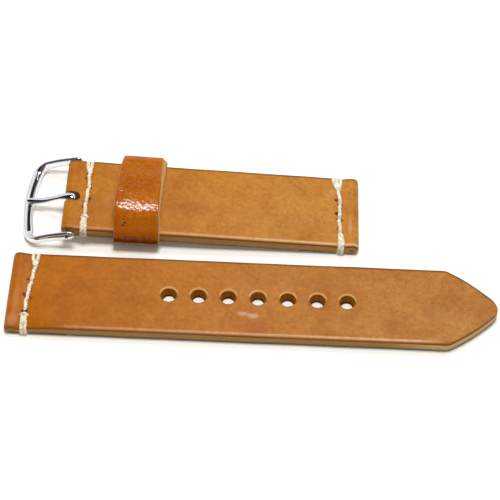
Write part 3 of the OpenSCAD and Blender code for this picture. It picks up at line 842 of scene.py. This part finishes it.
def keeperPiece():
    path = keeperPath()
    points = []
    for index, (p, inward) in enumerate(zip(path, leftOf(path))):
        ring = keeperRing(index, p)
        points += [(u, p[0] - inward[0] * depth, p[1] - inward[1] * depth) for u, depth, zone in ring]
    kinds = [slots[zone] for u, depth, zone in ring] * (len(path) - 1) + [slots["cut"]] * 2
    return solidObject("keeperLeather", placed(shortLie, points), tubeFaces(len(path), len(ring)),
                       [keeperGrain, keeperEdge, fleshSide], kinds)


keeperMarksAndShade = [
    # painted shade on the near wall, darkest along its lower edge
    (19.0, -10.5, 14.0, 4.2, 0.55, "#884300"),
    (19.0, -13.2, 14.0, 0.8, 0.7, "#5E2600"),
    # small dark blemishes
    (15.5, -8.3, 0.35, 0.3, 0.85, "#4A2208"),
    (15.9, -9.1, 0.3, 0.5, 0.9, "#42200A"),
    (15.5, -10.0, 0.5, 0.3, 0.9, "#42200A"),
]
keeperGrain = strapLeather("glossyTanLeatherKeeper", keeperMarksAndShade, tone="#B26405", pale="#B26405",
                           deep="#984400", gloss=0.1, specular=0.47, grain=0.6, pore=1.35, wrinkle=0.05,
                           length=30.0)
keeperEdge = rawLeather("keeperCutEdge", "#D0A86E", "#A97B3E", streak=3.0)
keeperObject = keeperPiece()
strapPlace(shortLie, keeperObject, None)
smoothShade(keeperObject)
finishPiece(keeperObject, "keeper_loop", "keeper_leather", "keeper")
print("keeper made")


# Threads: a node tree lays twisted plies along every strand of a path

thread = {"plies": 3, "plyRadius": 0.255, "plyOffset": 0.235, "twist": 2.4, "sides": 8}


def plyTree():
    tree = bpy.data.node_groups.new("twistedPlies", "GeometryNodeTree")
    face = tree.interface
    face.new_socket("Geometry", in_out="INPUT", socket_type="NodeSocketGeometry")
    for name, kind in (("Ply Radius", "Float"), ("Ply Offset", "Float"), ("Twist Length", "Float"),
                       ("Step", "Float"), ("Plies", "Int"), ("Sides", "Int"), ("Finish", "Material")):
        face.new_socket(name, in_out="INPUT", socket_type="NodeSocket" + kind)
    face.new_socket("Geometry", in_out="OUTPUT", socket_type="NodeSocketGeometry")
    given = addNode(tree, "NodeGroupInput").outputs

    def geometry(kind, inputs=None, **settings):
        return addNode(tree, "GeometryNode" + kind, inputs, **settings).outputs

    lines = geometry("MeshToCurve", {"Mesh": given["Geometry"]})[0]
    even = geometry("ResampleCurve", {"Curve": lines, "Length": given["Step"]}, mode="LENGTH")[0]
    calm = geometry("SetCurveNormal", {"Curve": even}, mode="MINIMUM_TWIST")[0]
    copies = geometry("DuplicateElements", {"Geometry": calm, "Amount": given["Plies"]}, domain="SPLINE")
    # each ply starts at its own share of a turn and winds on with the length
    turns = maths(tree, "DIVIDE", geometry("SplineParameter")["Length"], given["Twist Length"])
    share = maths(tree, "DIVIDE", copies["Duplicate Index"], given["Plies"])
    angle = maths(tree, "MULTIPLY", maths(tree, "ADD", turns, share), 2 * pi)
    normal = geometry("InputNormal")[0]
    cross = vectorMaths(tree, "CROSS_PRODUCT", {0: geometry("InputTangent")[0], 1: normal})
    out = vectorMaths(tree, "SCALE", {0: normal, "Scale": maths(tree, "COSINE", angle)})
    over = vectorMaths(tree, "SCALE", {0: cross, "Scale": maths(tree, "SINE", angle)})
    way = vectorMaths(tree, "ADD", {0: out, 1: over})
    shift = vectorMaths(tree, "SCALE", {0: way, "Scale": given["Ply Offset"]})
    moved = geometry("SetPosition", {"Geometry": copies[0], "Offset": shift})[0]
    ring = geometry("CurvePrimitiveCircle", {"Resolution": given["Sides"], "Radius": given["Ply Radius"]},
                    mode="RADIUS")[0]
    tube = geometry("CurveToMesh", {"Curve": moved, "Profile Curve": ring, "Fill Caps": True})[0]
    real = geometry("RealizeInstances", {"Geometry": tube})[0]
    dressed = geometry("SetMaterial", {"Geometry": real, "Material": given["Finish"]})[0]
    addNode(tree, "NodeGroupOutput", {0: dressed})
    return tree


plies = plyTree()


def strandObject(name, lie, strands, finish, values):
    # strands are smooth lines in strap millimetres; the tree turns them into plies
    points, edges = [], []
    for strand in strands:
        edges += [(len(points) + i, len(points) + i + 1) for i in range(len(strand) - 1)]
        points += list(placed(lie, strand))
    piece = meshObject(name, points, [], [], edges=edges)
    modifier = piece.modifiers.new("plies", "NODES")
    modifier.node_group = plies
    sockets = {item.name: item.identifier for item in plies.interface.items_tree if item.in_out == "INPUT"}
    given = {"Ply Radius": values["plyRadius"] * mm, "Ply Offset": values["plyOffset"] * mm,
             "Twist Length": values["twist"] * mm, "Step": 0.16 * mm, "Plies": values["plies"],
             "Sides": values["sides"], "Finish": finish}
    for key, value in given.items():
        modifier[sockets[key]] = value
    applyModifiers(piece)
    piece.data.shade_smooth()
    return piece


def seamStrands(seam, seams, seed, foldRadius, dents=()):
    # single strands between the four holes, and two or three round each edge of the strap
    at, stray = seam["u"], seam["stray"]
    radius = thread["plyRadius"] + thread["plyOffset"]
    leather = foldHeights(min(at, strap["shortLength"] - at), foldRadius)[1]
    height = leather + ripple(at, 0, seed) - seamDip(at, seams)
    rows, half = stitchRows, strap["width"] / 2
    roof = stitch["grooveDeep"]
    sunk = roof - radius * 0.6                     # pulled into the groove, clear of the table
    edge = half + radius * 0.1
    strands = []
    for i in range(len(rows) - 1):
        a, b = rows[i], rows[i + 1]
        u0, u1 = at + stray[i], at + stray[i + 1]
        top = [(u0, a, height - 1.3), (u0, a + 0.14, height - 0.5), (u0, a + 0.5, height + radius * 0.42),
               (mix(u0, u1, 0.3) + 0.08, mix(a, b, 0.3), height + radius * 0.95),
               (mix(u0, u1, 0.7) - 0.08, mix(a, b, 0.7), height + radius * 0.9),
               (u1, b - 0.5, height + radius * 0.38), (u1, b - 0.14, height - 0.5), (u1, b, height - 1.3)]
        low = [(at, a, roof + 0.9), (at, a + 0.3, sunk + radius * 0.2), (at, (a + b) / 2, sunk),
               (at, b - 0.3, sunk + radius * 0.2), (at, b, roof + 0.9)]
        strands += [catmull(top, 8), catmull(low, 6)]
    for side, index, spreads in ((-1, 0, seam["spreads"][0]), (1, -1, seam["spreads"][1])):
        row = rows[index]
        for lane, spread in zip(np.linspace(-1, 1, len(spreads)), spreads):
            u0 = at + stray[index] + lane * 0.12
            u1 = at + spread
            drop = pressed(u1, side * half, dents)
            wrap = [(u0, row, height - 1.3), (u0, row + side * 0.14, height - 0.4),
                    (mix(u0, u1, 0.35), row + side * 0.7, height + radius * 0.68),
                    (mix(u0, u1, 0.75), row + side * 2.0, height + radius * 0.7 - drop * 0.25),
                    (u1, side * (half - 1.5), height + radius * 0.6 - drop * 0.75),
                    (u1, side * (half - 0.6), height + radius * 0.15 - drop),
                    (u1, side * (edge - 0.1), height - radius * 1.1 - drop),
                    (u1, side * edge, (height - drop + roof) / 2),
                    (u1, side * (edge - 0.08), roof + radius * 0.1), (u1, side * (half - 0.35), sunk),
                    (mix(u1, at, 0.6), row + side * 1.4, sunk),
                    (at + lane * 0.15, row + side * 0.3, roof - 0.2), (at + lane * 0.1, row, roof + 0.9)]
            strands.append(catmull(wrap, 8))
    for v in seam["knots"]:
        # a turn of thread over the two strands
        u = at + stray[0]
        over = [(0.7, height - 0.2), (0.55, height + radius * 0.7), (0.2, height + radius * 1.45)]
        turn = [(u - du, v, w) for du, w in over] + [(u + du, v, w) for du, w in reversed(over)]
        strands.append(catmull(turn, 8))
    return strands


for name, lie, body, node, strands in (
    ("tailStitching", tailLie, "tail_piece", "tail_thread",
     seamStrands(tailSeam, [tailSeam], strap["tailSeed"], strap["lugFold"], tailDents)),
    ("buckleStitching", shortLie, "buckle_piece", "buckle_end_thread",
     seamStrands(buckleSeam, shortSeams, strap["shortSeed"], strap["buckleFold"])),
    ("lugStitching", shortLie, "buckle_piece", "lug_end_thread",
     seamStrands(lugSeam, shortSeams, strap["shortSeed"], strap["lugFold"])),
):
    finishPiece(strandObject(name, lie, strands, linen, thread), body, "thread", node)


# Three cross stitches hold the keeper's two ends together

keeperStitch = {"middle": 19.0, "pitch": 3.0, "in": 1.6, "sunk": 0.28}
fineThread = dict(thread, plyRadius=0.14, plyOffset=0.12, twist=1.5)
inside = keeper["low"] + keeper["thick"] - keeperStitch["sunk"]
outside = keeper["low"] + keeperStitch["sunk"]
between = (inside + outside) / 2
middle, pitch, a = keeperStitch["middle"], keeperStitch["pitch"], keeperStitch["in"]
keeperStrands = []
for u in (middle - pitch, middle, middle + pitch):
    loop = [(u, -a, inside), (u, 0, inside + 0.02), (u, a, inside), (u, a + 0.06, between), (u, a, outside),
            (u, 0, outside - 0.02), (u, -a, outside), (u, -a - 0.06, between), (u, -a, inside)]
    keeperStrands.append(catmull(loop, 6))
keeperStrands.append(catmull([(middle + s * pitch, a, inside) for s in (-1, -0.5, 0, 0.5, 1)], 6))
finishPiece(strandObject("keeperStitching", shortLie, keeperStrands, linen, fineThread),
            "keeper_loop", "thread", "keeper_thread")
print("threads made")


# Buckle: one closed bar of chromed steel, with an ear at the end of each arm

buckle = {
    "insideHalf": 11.2,
    "armWidth": 1.25,
    "armHeight": 2.6,
    "earRadius": 1.3,
    "earBack": 1.8,
    "earDrop": 0.2,
    "nearSplay": 0.35,       # the near arm stands out a little
    "reach": 11.65,
    "frontWidth": 2.6,
    "frontHeight": 2.1,
    "frontBow": 40.0,
    "frontCrown": 0.45,      # its middle stands higher than its corners
    "cornerRadius": 3.0,
    "armCurve": 60.0,
    "turn": 14.9,            # degrees, so that the front bar's corners rest on the table
    "holeRadius": 0.45,
    "squareness": 0.72,
    "sides": 28,
}


def squared(c):
    return copysign(abs(c) ** buckle["squareness"], c)


def frameStations():
    # along the bar in plan: forwards of the spring bar, sideways, the way out of the buckle, how far it
    # belongs to the front bar, and half its height where that isn't the arm's or the front bar's own
    armY = buckle["insideHalf"] + buckle["armWidth"] / 2
    bow, corner = buckle["frontBow"], buckle["cornerRadius"]
    bowCentre = buckle["reach"] - bow
    cornerY = armY - corner
    cornerF = bowCentre + sqrt((bow - corner) ** 2 - cornerY ** 2)
    turn = atan2(cornerF - bowCentre, cornerY)
    ear = buckle["earRadius"]
    earSteps, armSteps, cornerTurns, bowSteps = 10, 16, 22, 22
    half = []
    for k in range(earSteps):
        a = radians(88 - 88 * k / earSteps)
        half.append((-buckle["earBack"] * sin(a), armY, 0.0, 1.0, 0.0, ear * cos(a)))
    for k in range(armSteps):
        f = cornerF * k / armSteps
        half.append((f, armY, 0.0, 1.0, 0.0, mix(ear, buckle["armHeight"] / 2, ease(f / 2.2))))
    for k in range(cornerTurns):
        s, c = sin(turn * k / cornerTurns), cos(turn * k / cornerTurns)
        half.append((cornerF + corner * s, cornerY + corner * c, s, c, ease(k / cornerTurns), None))
    for k in range(bowSteps + 1):
        a = mix(turn, pi / 2, k / bowSteps)
        half.append((bowCentre + bow * sin(a), bow * cos(a), sin(a), cos(a), 1.0, None))
    return half + [(f, -y, outF, -outY, front, rise) for f, y, outF, outY, front, rise in reversed(half[:-1])]


def barPlace(points, turnDegrees=0):
    # from forwards, sideways and up at the spring bar to the scene's metres
    turn = Matrix.Rotation(radians(-turnDegrees), 4, "Y")
    rotated = np.asarray([(-f, y, z) for f, y, z in points], float) @ np.array(turn)[:3, :3].T
    return (rotated + np.array(barAxis)) * mm


def framePiece():
    points = []
    stations = frameStations()
    for f, y, outF, outY, front, rise in stations:
        halfW = mix(buckle["armWidth"], buckle["frontWidth"], front) / 2
        halfH = rise if rise is not None else mix(buckle["armHeight"], buckle["frontHeight"], front) / 2
        if f < 0:
            halfW *= mix(0.8, 1.0, (1 + f / buckle["earBack"]) ** 0.5)
        drop = -f * abs(f) / (2 * buckle["armCurve"]) - buckle["earDrop"] * (1 - ease(f / 5))
        drop += buckle["frontCrown"] * front * (0.5 - (y / 11.5) ** 2)
        if y < 0:
            y -= buckle["nearSplay"] * (1 - front)
        for c, s in circle(buckle["sides"]):
            across = halfW * squared(c)
            points.append((f + outF * across, y + outY * across, drop + halfH * squared(s)))
    return solidObject("buckleFrameChrome", barPlace(points, buckle["turn"]),
                       tubeFaces(len(stations), buckle["sides"]), [chrome])


def latheRings(profile, sides):
    # rings about the spring bar's axis, from radius and sideways place
    return [(r * c, y, r * s) for r, y in profile for c, s in circle(sides)]


def earDrill():
    # a hole right through both ears, with a slight countersink outside
    armIn, armOut = buckle["insideHalf"], buckle["insideHalf"] + buckle["armWidth"]
    nearOut = armOut + buckle["nearSplay"]
    r, sides = buckle["holeRadius"], 32
    profile = [(r + 0.3, -nearOut - 0.3), (r + 0.12, -nearOut + 0.04), (r, -nearOut + 0.16),
               (r, -armIn - 0.4), (r + 0.1, -armIn + 0.1), (r + 0.1, armIn - 0.1), (r, armIn + 0.1),
               (r, armOut - 0.16), (r + 0.12, armOut - 0.04), (r + 0.3, armOut + 0.3)]
    points = barPlace(latheRings(profile, sides))
    return solidObject("cutter", points, tubeFaces(len(profile), sides), [chrome])


frameObject = framePiece()
carve(frameObject, earDrill())
smoothShade(frameObject, 38)
finishPiece(frameObject, "buckle", "polished_steel", "buckle_frame")


# Tongue: a flattened pin whose end is curled round the spring bar

tongue = {
    "eyeWidth": 2.2,
    "eyeWall": 0.72,
    "waistWidth": 1.5,
    "width": 1.72,
    "thick": 1.08,
    "over": 0.55,
    "aside": -0.8,           # its eye sits a little nearer than the middle
    "skew": 0.75,            # and its tip nearly on the middle
    "gap": 0.06,
    "waistAt": 0.42,
    "roundedFrom": 0.9,      # share of its length where the tip starts to close
    "sides": 24,
}


def tonguePath():
    # from the end of the curl, round the bar and out to the tip, as forwards and up
    turn = radians(buckle["turn"])
    reach = buckle["reach"]
    drop = -reach ** 2 / (2 * buckle["armCurve"])
    frontF = reach * cos(turn) + drop * sin(turn)
    frontZ = drop * cos(turn) - reach * sin(turn)
    crown = max(buckle["frontWidth"] / 2 * squared(cos(a)) * sin(turn)
                + buckle["frontHeight"] / 2 * squared(sin(a)) * cos(turn)
                for a in np.linspace(0, pi / 2, 40))
    tipZ = frontZ + crown + tongue["gap"] + tongue["thick"] / 2
    tipF = frontF + tongue["over"]
    ring = strap["buckleBore"] + tongue["eyeWall"] / 2 + 0.01
    curl = [(-ring * sin(radians(a)), ring * cos(radians(a))) for a in range(300, 0, -8)]
    a, b, c, d = (0.0, ring), (0.27 * tipF, ring - 0.15), (0.57 * tipF, tipZ - 0.6), (tipF, tipZ)
    line = []
    for s in np.linspace(0, 1, 60):
        q = 1 - s
        line.append(tuple(q ** 3 * a[i] + 3 * s * q * q * b[i] + 3 * s * s * q * c[i] + s ** 3 * d[i]
                          for i in (0, 1)))
    return curl, line


def tonguePiece():
    curl, line = tonguePath()
    path = np.array(curl + line)
    waist, last = tongue["waistAt"], tongue["roundedFrom"]
    points = []
    for i, (p, up) in enumerate(zip(path, leftOf(path))):
        s = max(0.0, (i - len(curl)) / (len(line) - 1))
        if s < waist:
            wide = mix(tongue["eyeWidth"], tongue["waistWidth"], ease(s / waist))
        else:
            wide = mix(tongue["waistWidth"], tongue["width"], ease((s - waist) / 0.3))
        thick = mix(tongue["eyeWall"], tongue["thick"], ease(s / 0.3))
        if s > last:
            close = sqrt(max(0.03, 1 - ((s - last) / 0.1) ** 2))
            wide, thick = wide * mix(0.35, 1, close), thick * mix(0.5, 1, close)
        if i < 4:
            thick *= mix(0.45, 1, i / 4)
        for c, sine in circle(tongue["sides"]):
            lift = thick / 2 * squared(sine)
            across = tongue["aside"] + tongue["skew"] * s + wide / 2 * squared(c)
            points.append((p[0] + up[0] * lift, across, p[1] + up[1] * lift))
    faces = tubeFaces(len(path), tongue["sides"])
    return solidObject("buckleTongueChrome", barPlace(points), faces, [chrome])


tongueObject = tonguePiece()
smoothShade(tongueObject, 50)
finishPiece(tongueObject, "tongue", "polished_steel", "buckle_tongue")


# Spring bar: a crimped tube, a sprung tip at each end and the coil between them

springBar = {
    "radius": 0.75,
    "tubeHalf": 11.1,
    "wall": 0.2,
    "lip": 0.5,
    "tipRadius": 0.4,
    "tipOut": 12.1,
    "plungerIn": 6.55,
    "plungerOut": 10.55,
    "plungerRadius": 0.5,
    "coils": 16,
    "wire": 0.18,
    "sides": 40,
}


def turnedAcross(name, profile):
    # a lathe form about the bar: a tube's profile runs back to its start, a tip's from axis to axis
    sides, n = springBar["sides"], len(profile)
    tubular = profile[0][0] > 0.05
    faces = [(i * sides + k, i * sides + (k + 1) % sides, ((i + 1) % n) * sides + (k + 1) % sides,
              ((i + 1) % n) * sides + k) for i in range(n if tubular else n - 1) for k in range(sides)]
    piece = solidObject(name, barPlace(latheRings(profile, sides)), faces, [steel])
    smoothShade(piece, 30)
    return piece


tubeHalf, tubeR, inner = springBar["tubeHalf"], springBar["radius"], springBar["radius"] - springBar["wall"]
lipR, lipIn = springBar["tipRadius"] + 0.05, springBar["tubeHalf"] - springBar["lip"]
rightHalf = [(tubeR, 0), (tubeR, lipIn - 0.55), (tubeR - 0.07, lipIn - 0.4), (tubeR - 0.07, lipIn - 0.15),
             (tubeR, lipIn), (tubeR, tubeHalf - 0.18), (tubeR - 0.05, tubeHalf - 0.05),
             (tubeR - 0.16, tubeHalf), (lipR, tubeHalf), (lipR, lipIn), (inner, lipIn), (inner, 0)]
tubeObject = turnedAcross("springBarTube", rightHalf + [(r, -y) for r, y in reversed(rightHalf[1:-1])])
finishPiece(tubeObject, "buckle_piece", "bar_steel", "spring_bar_tube")

tipR, tipOut, plungerR = springBar["tipRadius"], springBar["tipOut"], springBar["plungerRadius"]
plungerIn, plungerOut = springBar["plungerIn"], springBar["plungerOut"]
tipProfile = [(0.001, plungerIn), (plungerR - 0.06, plungerIn), (plungerR, plungerIn + 0.06),
              (plungerR, plungerOut - 0.05), (plungerR - 0.05, plungerOut), (tipR, plungerOut),
              (tipR, tipOut - 0.12), (tipR - 0.1, tipOut - 0.02), (0.001, tipOut)]
coilHalf = plungerIn - springBar["wire"] / 2 - 0.03
coilR = plungerR - springBar["wire"] / 2
coilWire = dict(plies=1, plyRadius=springBar["wire"] / 2, plyOffset=0.0, twist=1.0, sides=8)
# the two tips, and one coil in two halves
for name, side, body, node in (("springBarTipNear", -1, "bar_tip_near", "spring_bar_tip_near"),
                               ("springBarTipFar", 1, "bar_tip_far", "spring_bar_tip_far")):
    finishPiece(turnedAcross(name, [(r, side * y) for r, y in tipProfile]), body, "bar_steel", node)
for name, side, joint in (("springBarCoilNear", -1, "near_tip_press"),
                          ("springBarCoilFar", 1, "far_tip_press")):
    steps = springBar["coils"] * 8
    coilLine = []
    for i in range(steps + 1):
        a = side * pi * i / 8
        coilLine.append((coilR * cos(a) + barAxis.x, side * coilHalf * i / steps + barAxis.y,
                         coilR * sin(a) + barAxis.z))
    coilObject = strandObject(name, Matrix.Identity(4), [coilLine], steel, coilWire)
    finishPiece(coilObject, "buckle_piece", "bar_steel", "spring_bar_spring")
    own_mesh(coilObject)
print("buckle and spring bar made")


# Table, lamps and camera

studio = {
    "floorSize": 6.0,
    "cardGlow": 0.06,
    "glowFrom": 0.12,        # metres from the middle
    "glowTo": 0.6,
    "lampPlace": (0.0, 0.02, 0.75),
    "lampSize": (0.22, 0.22),
    "lampPower": 3.9,
    "windowPlace": (0.10, 0.356, 0.68),
    "windowSize": (0.42, 0.045),
    "windowPower": 1.6,
    "room": (0.30, 0.27, 0.18, 1),
    "roomSeen": 1.0,         # how bright the walls are in reflections
    "lens": 112.86,
    "sensor": 36.0,
    "roll": 2.39,
    "elevation": 54.13,
    "cameraPlace": (-0.00128, -0.22959, 0.32107),
}
# brightness of the room in reflections, by degrees up from the far wall and over to the near one
roomLevels = [(0, 0.6), (46.5, 1.0), (49, 0.02), (76, 0.02), (92, 0.09), (112, 0.12), (150, 0.06), (180, 0.2)]
white = (1, 1, 1, 1)


def tableMaterial():
    # matt white card: it looks white to the camera and in the chrome, and keeps the shadows
    material, tree, surface = newMaterial("whiteCard")
    path = addNode(tree, "ShaderNodeLightPath").outputs
    seen = maths(tree, "MAXIMUM", path["Is Camera Ray"], path["Is Glossy Ray"])
    seenToo = maths(tree, "MAXIMUM", seen, path["Is Transmission Ray"])
    # past the reach of the lamps the card glows white, so that the table has no end
    away = vectorMaths(tree, "LENGTH", {0: addNode(tree, "ShaderNodeTexCoord").outputs["Object"]})
    glow = mapRange(tree, away, studio["glowFrom"], studio["glowTo"], studio["cardGlow"], 1.0)
    setInputs(tree, surface, {
        "Base Color": (0.96, 0.96, 0.96, 1),
        "Roughness": 1.0,
        "Specular IOR Level": 0.0,
        "Emission Color": white,
        "Emission Strength": maths(tree, "MULTIPLY", seenToo, glow)})
    return material


half = studio["floorSize"] / 2
floorObject = meshObject("tableTop", [(-half, -half, 0), (half, -half, 0), (half, half, 0), (-half, half, 0)],
                         [(0, 1, 2, 3)], [tableMaterial()])


def studioWorld():
    # an even warm room, white to the camera; reflections show its dark gaps between wall, window and ceiling
    world = bpy.data.worlds.new("studio")
    world.use_nodes = True
    tree = world.node_tree
    parts = parted(tree, addNode(tree, "ShaderNodeTexCoord").outputs["Generated"])
    share = maths(tree, "DIVIDE", maths(tree, "ARCTAN2", parts["Z"], parts["Y"]), pi)
    ramp = addNode(tree, "ShaderNodeValToRGB", {0: share})
    for degrees, level in roomLevels[1:-1]:
        ramp.color_ramp.elements.new(degrees / 180)
    for element, (degrees, level) in zip(ramp.color_ramp.elements, roomLevels):
        element.color = (level, level, level * 1.02, 1)
    path = addNode(tree, "ShaderNodeLightPath").outputs
    walls = vectorMaths(tree, "SCALE", {0: ramp.outputs[0], "Scale": studio["roomSeen"]})
    room = blend(tree, path["Is Glossy Ray"], studio["room"], walls)
    seen = maths(tree, "MAXIMUM", path["Is Camera Ray"], path["Is Transmission Ray"])
    setInputs(tree, tree.nodes["Background"], {"Color": blend(tree, seen, room, white)})
    bpy.context.scene.world = world


def areaLamp(name, place, size, power, mirrored=True):
    lamp = bpy.data.lights.new(name, "AREA")
    lamp.shape = "RECTANGLE"
    lamp.size, lamp.size_y = size
    lamp.energy = power
    lampObject = bpy.data.objects.new(name, lamp)
    lampObject.location = place
    lampObject.rotation_euler = (-Vector(place)).to_track_quat("-Z", "Y").to_euler()
    lampObject.visible_glossy = mirrored
    bpy.context.scene.collection.objects.link(lampObject)


studioWorld()
areaLamp("softbox", studio["lampPlace"], studio["lampSize"], studio["lampPower"], False)
areaLamp("window", studio["windowPlace"], studio["windowSize"], studio["windowPower"])

cameraData = bpy.data.cameras.new("camera")
cameraData.lens = studio["lens"]
cameraData.sensor_width = studio["sensor"]
cameraData.clip_start = 0.01
cameraData.clip_end = 20
cameraObject = bpy.data.objects.new("camera", cameraData)
bpy.context.scene.collection.objects.link(cameraObject)
tipped = Matrix.Rotation(radians(90 - studio["elevation"]), 4, "X")
rolled = Matrix.Rotation(radians(studio["roll"]), 4, "Z")
cameraObject.matrix_world = Matrix.Translation(studio["cameraPlace"]) @ tipped @ rolled
bpy.context.scene.camera = cameraObject
bpy.context.scene.view_settings.view_transform = "Standard"
print("scene lit")
